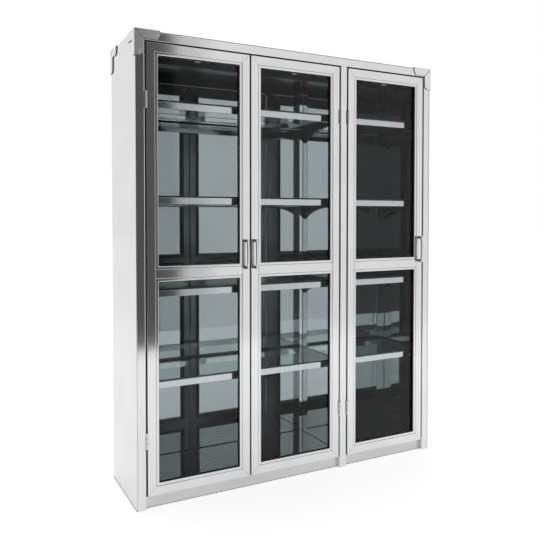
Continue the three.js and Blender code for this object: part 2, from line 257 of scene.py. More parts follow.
def bump(tree, height, distance, under=None):
    node = add_node(tree, "ShaderNodeBump", Strength=1.0, Distance=distance)
    tree.links.new(height, node.inputs["Height"])
    if under:
        tree.links.new(under, node.inputs["Normal"])
    return node.outputs["Normal"]


def steel(name, tone, gloss, grain, grain_depth, ripple_depth):
    """Stainless steel: a cloudy tone, polishing lines along the grain, and the slight waviness of sheet."""
    material, tree, shader = new_material(name)
    shader.inputs["Metallic"].default_value = 1.0
    cloud = noise_at(tree, (1, 1, 1), Scale=5.0, Detail=3.0)
    lines = noise_at(tree, grain, Scale=1.0, Detail=4.0, Roughness=0.6)
    ripple = noise_at(tree, (1, 1, 1), Scale=3.0, Detail=1.0)
    tree.links.new(tint(tree, cloud, *tone), shader.inputs["Base Color"])
    tree.links.new(spread(tree, lines, *gloss), shader.inputs["Roughness"])
    normal = bump(tree, lines, grain_depth)
    tree.links.new(bump(tree, ripple, ripple_depth, normal), shader.inputs["Normal"])
    return material


def glass(name, tone, ior, ripple_depth):
    """Clear glass with a faint tint that drifts, and the slight waviness of float glass."""
    material, tree, shader = new_material(name)
    shader.inputs["Transmission Weight"].default_value = 1.0
    shader.inputs["Roughness"].default_value = 0.0
    shader.inputs["IOR"].default_value = ior
    cloud = noise_at(tree, (1, 1, 1), Scale=4.0, Detail=2.0)
    ripple = noise_at(tree, (1, 1, 1), Scale=6.0, Detail=1.0)
    tree.links.new(tint(tree, cloud, *tone), shader.inputs["Base Color"])
    tree.links.new(bump(tree, ripple, ripple_depth), shader.inputs["Normal"])
    return material


def dark_skin(name, tone, gloss, grain_depth):
    """A dark surface with a fine grain: matt rubber, or the ground edge of glass."""
    material, tree, shader = new_material(name)
    grain = noise_at(tree, (1, 1, 1), Scale=900.0, Detail=3.0)
    dust = noise_at(tree, (1, 1, 1), Scale=30.0, Detail=3.0)
    tree.links.new(tint(tree, dust, *tone), shader.inputs["Base Color"])
    tree.links.new(spread(tree, grain, *gloss), shader.inputs["Roughness"])
    tree.links.new(bump(tree, grain, grain_depth), shader.inputs["Normal"])
    return material


# Grain: noise cycles to the metre along x, y and z
ALONG_X = (14, 700, 700)
ALONG_Z = (700, 700, 14)
EVEN = (260, 260, 260)

# Tones: the darkest and the lightest colour of each steel; several are darkened or lightened to paint shade
# or light, as said above them
BRIGHT = ((0.68, 0.685, 0.694), (0.725, 0.73, 0.735))
# Plinth: darker than the front steel, painted shade for the plinth set back under the doors
PLINTH_SHADE_TONE = ((0.555, 0.555, 0.57), (0.595, 0.595, 0.61))
# Sides: a little darker than the front steel, painted shade on the side panels
SIDE_TONE = ((0.64, 0.645, 0.655), (0.68, 0.685, 0.695))
# Inside: the mirror, back post and base tones are darkened to paint the shade inside the cabinet
MIRROR_SHADE_TONE = ((0.427, 0.466, 0.473), (0.456, 0.5, 0.505))
POST_SHADE_TONE = ((0.35, 0.378, 0.384), (0.373, 0.407, 0.412))
# Strip on the back centre post: lighter than the post, a painted highlight
STRIP_LIT_TONE = ((0.50, 0.535, 0.54), (0.53, 0.565, 0.57))
BASE_SHADE_TONE = ((0.265, 0.29, 0.293), (0.29, 0.313, 0.317))
# Backs of the front posts and of the doors: darkened, painted shade
BACK_SHADE_TONE = ((0.42, 0.43, 0.435), (0.48, 0.49, 0.495))
BAR_TONE = ((0.71, 0.715, 0.72), (0.755, 0.76, 0.765))
# Undersides, the ceiling, the back header and the shelf arms: near black, painted shade
DULL_SHADE_TONE = ((0.115, 0.13, 0.137), (0.165, 0.183, 0.19))
# Dark steel: the bottom catches and the handle screws, and painted shade on the stiles' rear stops
DARK_AND_SHADE_TONE = ((0.045, 0.05, 0.052), (0.07, 0.075, 0.078))
GUARD_TONE = ((0.68, 0.685, 0.695), (0.74, 0.745, 0.75))
SATIN_TONE = ((0.62, 0.625, 0.635), (0.70, 0.705, 0.71))
# Pale steel: the door catches, and painted light on the top rails' backs and on the rails' rear stops
PALE_AND_LIT_TONE = ((0.86, 0.865, 0.87), (0.91, 0.915, 0.92))

DOOR_TINT = ((0.79, 0.815, 0.83), (0.81, 0.835, 0.85))
SHELF_TINT = ((0.64, 0.74, 0.72), (0.67, 0.77, 0.75))
EDGE_TONE = ((0.008, 0.024, 0.022), (0.014, 0.036, 0.033))
# Black rubber: seals, gaskets and sealant, and painted shade in the floor lips, the guard seals and the
# post's seam
RUBBER_AND_SHADE_TONE = ((0.012, 0.013, 0.014), (0.022, 0.023, 0.024))

# Polishes: the range of roughness, the depth of the polishing lines and the depth of the sheet's waves
BRIGHT_POLISH = {"gloss": (0.08, 0.12), "grain_depth": 0.002 * MM, "ripple_depth": 0.2 * MM}
PLINTH_POLISH = {"gloss": (0.16, 0.24), "grain_depth": 0.002 * MM, "ripple_depth": 0.2 * MM}
SIDE_POLISH = {"gloss": (0.12, 0.18), "grain_depth": 0.002 * MM, "ripple_depth": 0.2 * MM}
MIRROR_POLISH = {"gloss": (0.006, 0.018), "grain_depth": 0.0002 * MM, "ripple_depth": 0.05 * MM}
STRIP_POLISH = {"gloss": (0.02, 0.05), "grain_depth": 0.0005 * MM, "ripple_depth": 0.05 * MM}
BAR_POLISH = {"gloss": (0.06, 0.10), "grain_depth": 0.001 * MM, "ripple_depth": 0.03 * MM}
BACK_POLISH = {"gloss": (0.18, 0.26), "grain_depth": 0.002 * MM, "ripple_depth": 0.1 * MM}
DULL_POLISH = {"gloss": (0.30, 0.42), "grain_depth": 0.004 * MM, "ripple_depth": 0.2 * MM}
DARK_POLISH = {"gloss": (0.25, 0.35), "grain_depth": 0.004 * MM, "ripple_depth": 0.05 * MM}
GUARD_POLISH = {"gloss": (0.27, 0.33), "grain_depth": 0.001 * MM, "ripple_depth": 0.03 * MM}
SATIN_POLISH = {"gloss": (0.16, 0.24), "grain_depth": 0.002 * MM, "ripple_depth": 0.03 * MM}
PALE_POLISH = {"gloss": (0.55, 0.70), "grain_depth": 0.004 * MM, "ripple_depth": 0.05 * MM}

UPRIGHT_STEEL = steel("upright_steel", BRIGHT, grain=ALONG_Z, **BRIGHT_POLISH)
LEVEL_STEEL = steel("level_steel", BRIGHT, grain=ALONG_X, **BRIGHT_POLISH)
SHADED_PLINTH_STEEL = steel("shaded_plinth_steel", PLINTH_SHADE_TONE, grain=ALONG_X, **PLINTH_POLISH)
SIDE_STEEL = steel("side_steel", SIDE_TONE, grain=ALONG_Z, **SIDE_POLISH)
SHADED_MIRROR_STEEL = steel("shaded_mirror_steel", MIRROR_SHADE_TONE, grain=ALONG_Z, **MIRROR_POLISH)
SHADED_POST_STEEL = steel("shaded_post_steel", POST_SHADE_TONE, grain=ALONG_Z, **MIRROR_POLISH)
LIT_STRIP_STEEL = steel("lit_strip_steel", STRIP_LIT_TONE, grain=ALONG_Z, **STRIP_POLISH)
SHADED_BASE_STEEL = steel("shaded_base_steel", BASE_SHADE_TONE, grain=ALONG_X, **MIRROR_POLISH)
BAR_STEEL = steel("bar_steel", BAR_TONE, grain=ALONG_X, **BAR_POLISH)
SHADED_BACK_STEEL = steel("shaded_back_steel", BACK_SHADE_TONE, grain=ALONG_Z, **BACK_POLISH)
SHADED_DULL_STEEL = steel("shaded_dull_steel", DULL_SHADE_TONE, grain=ALONG_Z, **DULL_POLISH)
DARK_STEEL_AND_PAINTED_SHADE = steel("dark_steel_and_painted_shade", DARK_AND_SHADE_TONE, grain=ALONG_Z, **DARK_POLISH)
GUARD_STEEL = steel("guard_steel", GUARD_TONE, grain=EVEN, **GUARD_POLISH)
SATIN_STEEL = steel("satin_steel", SATIN_TONE, grain=ALONG_Z, **SATIN_POLISH)
PALE_STEEL_AND_PAINTED_LIGHT = steel("pale_steel", PALE_AND_LIT_TONE, grain=EVEN, **PALE_POLISH)
DOOR_GLASS = glass("door_glass", DOOR_TINT, ior=1.22, ripple_depth=0.01 * MM)
SHELF_GLASS = glass("shelf_glass", SHELF_TINT, ior=1.45, ripple_depth=0.01 * MM)
GLASS_EDGE = dark_skin("glass_edge", EDGE_TONE, gloss=(0.10, 0.18), grain_depth=0.01 * MM)
BLACK_RUBBER_AND_SHADE = dark_skin("black_rubber_and_shade", RUBBER_AND_SHADE_TONE, gloss=(0.55, 0.75), grain_depth=0.05 * MM)


# Mesh helpers

def lifted(point, along, axis):
    """A flat point (u, v) carried along an axis, as a place in the cabinet."""
    u, v = point
    return {"x": (along, u, v), "y": (u, along, v), "z": (u, v, along)}[axis]


def add_block(bm, first, last, material=0):
    """A closed block between two matching loops of places; the first two faces are the loops themselves."""
    rings = [[bm.verts.new(point) for point in loop] for loop in (first, last)]
    faces = [bm.faces.new(ring) for ring in rings]
    for here in range(len(first)):
        after = (here + 1) % len(first)
        faces.append(bm.faces.new((rings[0][here], rings[0][after], rings[1][after], rings[1][here])))
    for face in faces:
        face.material_index = material
    return faces


def add_prism(bm, outline, extent, axis, material=0):
    """A flat outline carried between two places along an axis."""
    first, last = ([lifted(point, along, axis) for point in outline] for along in extent)
    return add_block(bm, first, last, material)


def rectangle(low, high):
    return [(low[0], low[1]), (high[0], low[1]), (high[0], high[1]), (low[0], high[1])]


def softened(corners):
    """An outline from (u, v, radius) corners, each rounded as far as its radius."""
    points = []
    for here, (u, v, radius) in enumerate(corners):
        if not radius:
            points.append((u, v))
            continue
        corner = Vector((u, v))
        before = Vector(corners[here - 1][:2])
        after = Vector(corners[(here + 1) % len(corners)][:2])
        start = corner + (before - corner).normalized() * radius
        end = corner + (after - corner).normalized() * radius
        for step in range(ARC_STEPS + 1):
            t = step / ARC_STEPS
            point = start * (1 - t) ** 2 + corner * 2 * t * (1 - t) + end * t ** 2
            points.append((point.x, point.y))
    return points


def rounded_outline(low, high, radius):
    """A rectangle with round corners."""
    return softened([(u, v, radius) for u, v in rectangle(low, high)])


def add_moulding(bm, window, profile, upright_material=0):
    """A closed moulding round a window; profile points are (inset from the window, y)."""
    left, bottom, right, top = window
    rings = []
    for inset, y in profile:
        corners = rectangle((left + inset, bottom + inset), (right - inset, top - inset))
        rings.append([bm.verts.new((x, y, z)) for x, z in corners])
    for here, ring in enumerate(rings):
        after = rings[(here + 1) % len(rings)]
        for corner in range(4):
            beside = (corner + 1) % 4
            face = bm.faces.new((ring[corner], ring[beside], after[beside], after[corner]))
            face.material_index = upright_material * (corner % 2)


def add_mitred_frame(bm, outer, profile, gap):
    """Four members inside a rectangle, cut at 45 degrees, from (inset, y) points; rails get material 1."""
    left, bottom, right, top = outer
    for side, (way_x, way_z) in enumerate(((1, 0), (0, 1), (-1, 0), (0, -1))):
        loops = []
        for end, shift in ((side, gap), ((side + 1) % 4, -gap)):
            loop = []
            for inset, y in profile:
                x, z = rectangle((left + inset, bottom + inset), (right - inset, top - inset))[end]
                loop.append((x + way_x * shift, y, z + way_z * shift))
            loops.append(loop)
        add_block(bm, *loops, material=1 - side % 2)


def add_turned(bm, base, axis, profile, segments=TURN_SEGMENTS):
    """A turned shape: (radius, height) points about an axis, which both ends of the profile meet."""
    direction = Vector(axis).normalized()
    side = direction.orthogonal().normalized()
    other = direction.cross(side)
    rings = []
    for radius, height in profile:
        centre = Vector(base) + direction * height
        count = segments if radius > 0 else 1
        ring = []
        for step in range(count):
            turn = 2 * math.pi * step / segments
            ring.append(bm.verts.new(centre + radius * (side * math.cos(turn) + other * math.sin(turn))))
        rings.append(ring)
    for ring, after in zip(rings, rings[1:]):
        for here in range(segments):
            beside = (here + 1) % segments
            corners = [ring[here % len(ring)], ring[beside % len(ring)]]
            corners += [after[beside % len(after)], after[here % len(after)]]
            bm.faces.new(list(dict.fromkeys(corners)))


def add_rivet(bm, base, axis, radius, height):
    """A domed rivet head."""
    arc = [math.pi / 2 * step / ARC_STEPS for step in range(ARC_STEPS)]
    dome = [(radius * math.cos(angle), height * math.sin(angle)) for angle in arc]
    add_turned(bm, base, axis, [(0, 0), *dome, (0, height)])


def add_screw(bm, base, axis, radius, height):
    """A low button-head screw with a socket."""
    add_turned(bm, base, axis, [(across * radius, up * height) for across, up in SCREW_OUTLINE])


def place(name, bm, body, materials, bevel=0.0, replaced=(), segments=BEVEL_STEPS):
    """Makes a mesh into a piece that rides on a body, with rounded edges and flat faces kept flat."""
    bmesh.ops.recalc_face_normals(bm, faces=bm.faces)
    mesh = bpy.data.meshes.new(name)
    bm.to_mesh(mesh)
    bm.free()
    for material in materials:
        mesh.materials.append(material)
    mesh.polygons.foreach_set("use_smooth", [True] * len(mesh.polygons))
    piece = bpy.data.objects.new(name, mesh)
    scene.collection.objects.link(piece)
    if bevel:
        soften = piece.modifiers.new("rounded_edges", "BEVEL")
        soften.width = bevel
        soften.segments = segments
        soften.limit_method = "ANGLE"
        soften.angle_limit = SHARP_ANGLE
    else:
        mesh.set_sharp_from_angle(angle=SHARP_ANGLE)
    flatten = piece.modifiers.new("flat_faces", "WEIGHTED_NORMAL")
    flatten.keep_sharp = True
    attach(piece, body)
    if replaced:
        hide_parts(*replaced)


def paint_faces(bm, paint):
    """Gives each face the material that paint picks by its normal."""
    bmesh.ops.recalc_face_normals(bm, faces=bm.faces)
    bm.normal_update()
    for face in bm.faces:
        face.material_index = int(paint(face.normal))


def dressed(node, materials, bevel, paint=None):
    """A copy of a carcass sheet with softened edges; paint picks a material by a face's normal."""
    bm = bmesh.new()
    bm.from_mesh(frame["nodes"][node].data)
    bmesh.ops.remove_doubles(bm, verts=bm.verts, dist=WELD)
    bmesh.ops.dissolve_limit(bm, angle_limit=FLAT_ANGLE, verts=bm.verts, edges=bm.edges)
    if paint:
        paint_faces(bm, paint)
    place(f"{node}_sheet", bm, "carcass", materials, bevel, [node])


# Carcass

def square_tube(node, axis, materials, paint=None):
    """A post or rail of tube with round corners; paint picks a material by a face's normal."""
    low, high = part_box(node)
    along = "xyz".index(axis)
    flat = [index for index in range(3) if index != along]
    outline = rounded_outline([low[index] for index in flat], [high[index] for index in flat], TUBE_RADIUS)
    bm = bmesh.new()
    add_prism(bm, outline, (low[along], high[along]), axis)
    if paint:
        paint_faces(bm, paint)
    place(f"{node}_tube", bm, "carcass", materials, TUBE_END_BEVEL, [node])


def carcass():
    for column in COLUMNS:
        front, back = f"front_{column}_post", f"back_{column}_post"
        # The front posts' back faces take the darkened back steel: painted shade
        square_tube(front, "z", [UPRIGHT_STEEL, SHADED_BACK_STEEL], lambda normal: normal.y > FACING)
        # The back posts take the darkened mirror steel, and their fronts a darker one still: painted shade
        square_tube(back, "z", [SHADED_MIRROR_STEEL, SHADED_POST_STEEL], lambda normal: normal.y < -FACING)
    # The header's underside and back, the back header and the top panel's inner face take the near-black
    # steel: painted shade
    square_tube("front_header", "x", [LEVEL_STEEL, SHADED_DULL_STEEL], lambda normal: normal.y - normal.z > FACING)
    square_tube("back_header", "x", [SHADED_DULL_STEEL])
    dressed("top_panel", [LEVEL_STEEL, SHADED_DULL_STEEL], SHEET_BEVEL, lambda normal: normal.z < -FACING)
    # The inner faces of the back and the sides take the darkened mirror steel: painted shade
    dressed("back_panel", [UPRIGHT_STEEL, SHADED_MIRROR_STEEL], SHEET_BEVEL, lambda normal: normal.y < -FACING)
    # The side panels' outer faces take the darker side steel: painted shade
    dressed("left_side_panel", [SIDE_STEEL, SHADED_MIRROR_STEEL], SHEET_BEVEL, lambda normal: normal.x > FACING)
    dressed("right_side_panel", [SIDE_STEEL, SHADED_MIRROR_STEEL], SHEET_BEVEL, lambda normal: normal.x < -FACING)
    for side in ("left", "right"):
        # The base's top takes the darkest mirror steel: painted shade on the cabinet's floor
        dressed(f"{side}_base_panel", [LEVEL_STEEL, SHADED_BASE_STEEL], FOLD_BEVEL, lambda normal: normal.z > FACING)
        # The plinths take the darker steel: painted shade under the doors
        dressed(f"{side}_plinth", [SHADED_PLINTH_STEEL], FOLD_BEVEL)


def post_highlight_and_shadow_trim():
    """A strip on the front of the back centre post, lighter than the post as a painted highlight, with a
    black seam beside it as a painted shadow line.
    """
    low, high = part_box("back_centre_post")
    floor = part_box("left_base_panel")[1].z
    front = low.y - POST_TRIM_SHEET
    # The strip's lighter steel is a painted highlight, and the seam's black is a painted shadow line
    strips = (("strip", POST_TRIM, "polished_steel", LIT_STRIP_STEEL), ("seam", POST_SHADOW_SEAM, None, BLACK_RUBBER_AND_SHADE))
    for name, (start, end), slot, material in strips:
        bm = bmesh.new()
        outline = rounded_outline((low.x + start, front), (low.x + end, low.y), POST_TRIM_RADIUS)
        add_prism(bm, outline, (floor, high.z), "z")
        place(f"back_centre_post_{name}", bm, "carcass", [material])


def sealant():
    """Dark beads where the base meets the back and the sides, and along its seam."""
    base_low, base_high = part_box("left_base_panel")
    seam = (base_high.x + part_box("right_base_panel")[0].x) / 2
    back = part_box("back_panel")[0].y
    fronts = {column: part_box(f"front_{column}_post") for column in COLUMNS}
    backs = {column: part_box(f"back_{column}_post") for column in COLUMNS}
    floor = base_high.z
    bm = bmesh.new()
    fillet = [(back - SEALANT_LEG, floor), (back, floor), (back, floor + SEALANT_LEG)]
    for first, second in zip(COLUMNS, COLUMNS[1:]):
        add_prism(bm, fillet, (backs[first][1].x, backs[second][0].x), "x")
    walls = (("left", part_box("left_side_panel")[1].x, 1), ("right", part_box("right_side_panel")[0].x, -1))
    for column, wall, way in walls:
        fillet = [(wall, floor), (wall + way * SEALANT_LEG, floor), (wall, floor + SEALANT_LEG)]
        add_prism(bm, fillet, (fronts[column][1].y, backs[column][0].y), "y")
    half = SEAM_WIDTH / 2
    strip = rounded_outline((seam - half, floor), (seam + half, floor + SEAM_HEIGHT), SEAM_HEIGHT / 2)
    add_prism(bm, strip, (fronts["centre"][1].y, backs["centre"][0].y), "y")
    place("sealant", bm, "carcass", [BLACK_RUBBER_AND_SHADE])


def floor_shadow_lips():
    """Black rubber lips that close the gaps under the plinths and the side panels; their black paints the
    contact shadow along the bottom edges.
    """
    bm = bmesh.new()
    for side in ("left", "right"):
        low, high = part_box(f"{side}_plinth")
        lip = rounded_outline((low.y + LIP_INSET, LIP_INSET), (low.y + LIP_SHEET, low.z), LIP_INSET)
        add_prism(bm, lip, (low.x, high.x), "x")
        low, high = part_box(f"{side}_side_panel")
        lip = rounded_outline((low.x + LIP_INSET, LIP_INSET), (high.x - LIP_INSET, low.z), LIP_INSET)
        add_prism(bm, lip, (low.y + LIP_END, high.y - LIP_END), "y")
    place("floor_shadow_lips", bm, "carcass", [BLACK_RUBBER_AND_SHADE])


def back_rivets():
    """Rivets that fix the back panel to the posts."""
    low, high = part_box("back_panel")
    bm = bmesh.new()
    rows = max(FEWEST_IN_ROW, round((high.z - low.z) / BACK_RIVET_PITCH))
    for column in COLUMNS:
        post_low, post_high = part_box(f"back_{column}_post")
        x = (post_low.x + post_high.x) / 2
        for row in range(rows + 1):
            z = low.z + BACK_RIVET_INSET + (high.z - low.z - 2 * BACK_RIVET_INSET) * row / rows
            add_rivet(bm, (x, high.y, z), (0, 1, 0), RIVET_RADIUS, RIVET_HEIGHT)
    place("back_panel_rivets", bm, "carcass", [SATIN_STEEL])


def guard_outline(length, gap, edge, margin):
    """One leg of a guard's face up to its mitre, from its outer edge: along the leg, across the leg."""
    end = length + margin
    wide = GUARD_WIDTH + margin
    return [
        (edge + gap, edge),
        (end, edge),
        (end, wide - GUARD_CHAMFER_WIDE),
        (end - GUARD_CHAMFER_LONG, wide),
        (wide + gap, wide),
    ]


def corner_guard(depth_name, width_name):
    """A guard of six mitred legs on three faces of a top corner, on a black seal that also paints the shadow
    round its edges, with a rivet in each leg.
    """
    node = f"{depth_name}_{width_name}_corner_guard"
    low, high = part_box(node)
    inwards = Vector((1 if width_name == "left" else -1, 1 if depth_name == "front" else -1, -1))
    outer = Vector((low.x if inwards.x > 0 else high.x, low.y if inwards.y > 0 else high.y, high.z))
    corner = outer + inwards * RIVET_HEIGHT
    length = high.x - low.x - RIVET_HEIGHT
    across = GUARD_WIDTH / 2

    def at(axes, distances):
        point = corner.copy()
        for axis, distance in zip(axes, distances):
            point[axis] += inwards[axis] * distance
        return point

    plates, shadow_seals, rivets = bmesh.new(), bmesh.new(), bmesh.new()
    for axes in GUARD_LEGS:
        shadow_seal_back = GUARD_THICKNESS + GUARD_SHADOW_SEAL
        for bm, gap, edge, margin, depths in (
            (plates, GUARD_MITRE_GAP, 0, 0, (0, GUARD_THICKNESS)),
            (shadow_seals, 0, GUARD_THICKNESS, GUARD_SHADOW_SEAL_MARGIN, (GUARD_THICKNESS, shadow_seal_back)),
        ):
            leg = guard_outline(length, gap, edge, margin)
            add_block(bm, *[[at(axes, (*point, depth)) for point in leg] for depth in depths])
        outwards = Vector((0, 0, 0))
        outwards[axes[2]] = -inwards[axes[2]]
        add_rivet(rivets, at(axes, (length - RIVET_INSET, across, 0)), outwards, RIVET_RADIUS, RIVET_HEIGHT)
    place(f"{node}_plates", plates, "carcass", [GUARD_STEEL], GUARD_BEVEL, [node])
    # The seals' black paints the shadow round the guard's edges
    place(f"{node}_seals", shadow_seals, "carcass", [BLACK_RUBBER_AND_SHADE])
    place(f"{node}_rivets", rivets, "carcass", [SATIN_STEEL])


def door_catch(name):
    """A strip under the header with a round-cornered head behind the door's top rail."""
    node = f"{name}_door_catch"
    low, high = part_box(node)
    bm = bmesh.new()
    strip = rounded_outline((low.x, low.z), (high.x, high.z), CATCH_RADIUS)
    add_prism(bm, strip, (high.y - CATCH_STRIP, high.y), "y")
    head = rounded_outline((low.x, low.y), (high.x, high.y - CATCH_STRIP), CATCH_RADIUS)
    add_prism(bm, head, (low.z, low.z + CATCH_HEAD), "z")
    # The catch's near-white steel is its pale colour, and is pale enough to paint the light on its underside
    # too
    place(f"{node}_body", bm, "carcass", [PALE_STEEL_AND_PAINTED_LIGHT], FOLD_BEVEL, [node])


def bottom_catch(name):
    """A dark catch on the base behind the middle of the door's bottom rail, held by two screws."""
    low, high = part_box(f"{name}_door_frame")
    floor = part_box("left_base_panel")[1].z
    x = (low.x + high.x) / 2
    width, depth, height = BOTTOM_CATCH
    front = high.y + BOTTOM_CATCH_GAP
    body, screws = bmesh.new(), bmesh.new()
    outline = rounded_outline((x - width / 2, front), (x + width / 2, front + depth), BOTTOM_CATCH_RADIUS)
    add_prism(body, outline, (floor, floor + height), "z")
    for side in (-1, 1):
        middle = (x + side * (width / 2 - depth / 2), front + depth / 2, floor + height)
        add_screw(screws, middle, (0, 0, 1), SCREW_RADIUS, SCREW_HEIGHT)
    place(f"{name}_bottom_catch", body, "carcass", [DARK_STEEL_AND_PAINTED_SHADE], FOLD_BEVEL)
    place(f"{name}_bottom_catch_screws", screws, "carcass", [SATIN_STEEL])


# Shelves

def shelf_frame(node):
    """Front and rear bars on three arms whose lower edge curves down to the back."""
    low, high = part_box(node)
    top = high.z
    bar_bottom = top - SHELF_BAR_HEIGHT
    bars, arms = bmesh.new(), bmesh.new()
    for front in (low.y, high.y - SHELF_BAR_DEPTH):
        outline = rounded_outline((front, bar_bottom), (front + SHELF_BAR_DEPTH, top), SHELF_BAR_RADIUS)
        add_prism(bars, outline, (low.x, high.x), "x")
    start = Vector((low.y + SHELF_BAR_DEPTH, bar_bottom))
    middle = Vector((high.y - ARM_CURVE_DEPTH, bar_bottom - ARM_FRONT_DROP))
    end = Vector((high.y - ARM_INSET, low.z))
    curve = []
    for step in range(2 * ARC_STEPS + 1):
        t = step / (2 * ARC_STEPS)
        curve.append(start * (1 - t) ** 2 + middle * 2 * t * (1 - t) + end * t ** 2)
    outline = [(start.x, top - ARM_INSET), *[(point.x, point.y) for point in curve], (end.x, top - ARM_INSET)]
    for column in COLUMNS:
        post_low, post_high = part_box(f"front_{column}_post")
        centre = (post_low.x + post_high.x) / 2
        extent = (centre - ARM_WIDTH / 2, centre + ARM_WIDTH / 2)
        add_prism(arms, outline, extent, "x")
    place(f"{node}_bars", bars, "carcass", [BAR_STEEL], SHELF_BEVEL, [node])
    # The arms take the near-black steel: painted shade
    place(f"{node}_arms", arms, "carcass", [SHADED_DULL_STEEL], SHELF_BEVEL)


def glass_plate(node, body, material):
    """A plate of glass with ground edges, darker where one looks into them."""
    low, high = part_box(node)
    size = high - low
    thin = min(range(3), key=lambda axis: size[axis])
    flat = [index for index in range(3) if index != thin]
    outline = rectangle([low[index] for index in flat], [high[index] for index in flat])
    bm = bmesh.new()
    for face in add_prism(bm, outline, (low[thin], high[thin]), "xyz"[thin], 1)[:2]:
        face.material_index = 0
    place(f"{node}_plate", bm, body, [material, GLASS_EDGE], PANE_BEVEL, [node], PANE_BEVEL_STEPS)


# Doors

def window_of(pane):
    """The opening in front of a pane, grown to the outer edge of its bead: left, bottom, right, top."""
    low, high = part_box(pane)
    grow = BEAD_WIDTH - PANE_OVERLAP
    return (low.x - grow, low.z - grow, high.x + grow, high.z + grow)


def door_members(name, body, windows):
    """Mitred stiles and rails with soft edges, and a mid rail between the stiles."""
    node = f"{name}_door_frame"
    low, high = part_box(node)
    upper, lower = windows
    width = upper[0] - low.x
    profile = softened([
        (0, low.y, MEMBER_OUTER_RADIUS),
        (width, low.y, MEMBER_INNER_RADIUS),
        (width, high.y, MEMBER_BACK_RADIUS),
        (0, high.y, MEMBER_BACK_RADIUS),
    ])
    rail = softened([
        (low.y, lower[3], MEMBER_INNER_RADIUS),
        (high.y, lower[3], MEMBER_BACK_RADIUS),
        (high.y, upper[1], MEMBER_BACK_RADIUS),
        (low.y, upper[1], MEMBER_INNER_RADIUS),
    ])
    bm = bmesh.new()
    add_mitred_frame(bm, (low.x, low.z, high.x, high.z), profile, MITRE_GAP)
    add_prism(bm, rail, (upper[0] + MITRE_GAP, upper[2] - MITRE_GAP), "x", 1)
    # Back faces: the top rail's take the pale steel, painted light, and the rest the darkened back steel,
    # painted shade
    materials = [UPRIGHT_STEEL, LEVEL_STEEL, SHADED_BACK_STEEL, PALE_STEEL_AND_PAINTED_LIGHT]
    for face in bm.faces:
        if all(abs(vertex.co.y - high.y) < WELD for vertex in face.verts):
            painted_back = PALE_STEEL_AND_PAINTED_LIGHT if face.calc_center_median().z > upper[3] else SHADED_BACK_STEEL
            face.material_index = materials.index(painted_back)
    place(f"{node}_members", bm, body, materials, MITRE_BEVEL, [node])


def door_glazing(name, body, windows):
    """Beads in front of the glass, a black gasket that lines them, and screwed stops behind it."""
    low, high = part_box(f"{name}_door_frame")
    pane_low, pane_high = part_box(f"{name}_door_upper_glass")
    bead_front = low.y + BEAD_STEP
    lip_back = pane_low.y - GASKET_GAP
    bead = softened([
        (BEAD_GROOVE, bead_front, BEAD_GROOVE),
        (BEAD_WIDTH, bead_front, BEAD_NOSE),
        (BEAD_WIDTH, lip_back, 0),
        (BEAD_LEG, lip_back, 0),
        (BEAD_LEG, high.y, 0),
        (BEAD_GROOVE, high.y, 0),
    ])
    gasket = softened([
        (BEAD_WIDTH - GASKET_TUCK, bead_front + BEAD_NOSE, 0),
        (BEAD_WIDTH + GASKET_PROUD, bead_front + BEAD_NOSE, GASKET_PROUD),
        (BEAD_WIDTH + GASKET_PROUD, pane_low.y, 0),
        (BEAD_WIDTH - GASKET_TUCK, pane_low.y, 0),
    ])
    stop_back = high.y + STOP_SHEET
    stop = [
        (-STOP_COVER, high.y),
        (-STOP_COVER, stop_back),
        (STOP_INNER, stop_back),
        (STOP_INNER, pane_high.y),
        (STOP_OUTER, pane_high.y),
        (STOP_OUTER, high.y),
    ]
    beads, gaskets, stops, screws = bmesh.new(), bmesh.new(), bmesh.new(), bmesh.new()
    for window in windows:
        add_moulding(beads, window, bead)
        add_moulding(gaskets, window, gasket)
        # The stops along the stiles take the dark steel, painted shade, and along the rails the pale steel,
        # painted light
        add_moulding(stops, window, stop, 1)
        left, bottom, right, top = window
        count = max(FEWEST_IN_ROW, round((top - bottom) / STOP_SCREW_PITCH))
        for row in range(count):
            z = bottom + (top - bottom) * (row + 0.5) / count
            for x in (left + STOP_SCREW_INSET, right - STOP_SCREW_INSET):
                add_screw(screws, (x, stop_back, z), (0, 1, 0), STOP_SCREW_RADIUS, STOP_SCREW_HEIGHT)
    place(f"{name}_door_beads", beads, body, [UPRIGHT_STEEL], BEAD_BEVEL)
    place(f"{name}_door_gaskets", gaskets, body, [BLACK_RUBBER_AND_SHADE])
    place(f"{name}_door_rear_stops", stops, body, [PALE_STEEL_AND_PAINTED_LIGHT, DARK_STEEL_AND_PAINTED_SHADE], BEAD_BEVEL)
    place(f"{name}_door_stop_screws", screws, body, [SATIN_STEEL])


def door_seal(name, body):
    """A black seal in the gaps round a door, short where it faces the seal of the left door."""
    low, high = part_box(f"{name}_door_frame")
    left_reach = SEAL_SHORT_REACH if name == "middle" else SEAL_REACH
    outer = (low.x - left_reach, low.z - SEAL_REACH, high.x + SEAL_REACH, high.z + SEAL_REACH)
    root = SEAL_REACH + SEAL_ROOT
    profile = rounded_outline((0, low.y + SEAL_FRONT), (root, low.y + SEAL_BACK), SEAL_ROOT)
    bm = bmesh.new()
    add_moulding(bm, outer, profile)
    place(f"{name}_door_seal", bm, body, [BLACK_RUBBER_AND_SHADE])


